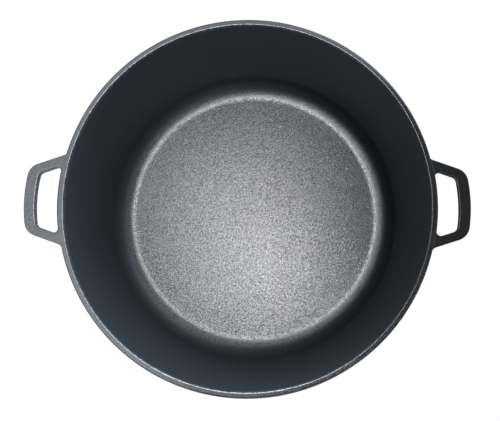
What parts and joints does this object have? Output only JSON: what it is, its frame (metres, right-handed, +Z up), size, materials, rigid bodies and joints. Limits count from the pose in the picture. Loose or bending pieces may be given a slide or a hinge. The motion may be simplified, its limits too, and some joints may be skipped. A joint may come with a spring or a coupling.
{
  "type": "casserole pot",
  "caption": "Deep round cast iron casserole pot with leaning walls, a flat rim and a loop handle on each side, for cooking on a hob or in an oven.",
  "frame": {"origin": "on the bowl's axis, on the plane it stands on", "axes": "+Z up out of the mouth; +X out through the right-hand handle; +Y to the back, the top of the picture"},
  "size_m": [0.3404, 0.2892, 0.13],
  "materials": {
    "bowl_iron": "black, fine sand-cast grain, slightly oiled",
    "handle_iron": "black, coarse sand-cast grain"
  },
  "bodies": {
    "root": {"pot_body": "bowl_iron", "left_handle": "handle_iron", "right_handle": "handle_iron"}
  },
  "joints": []
}
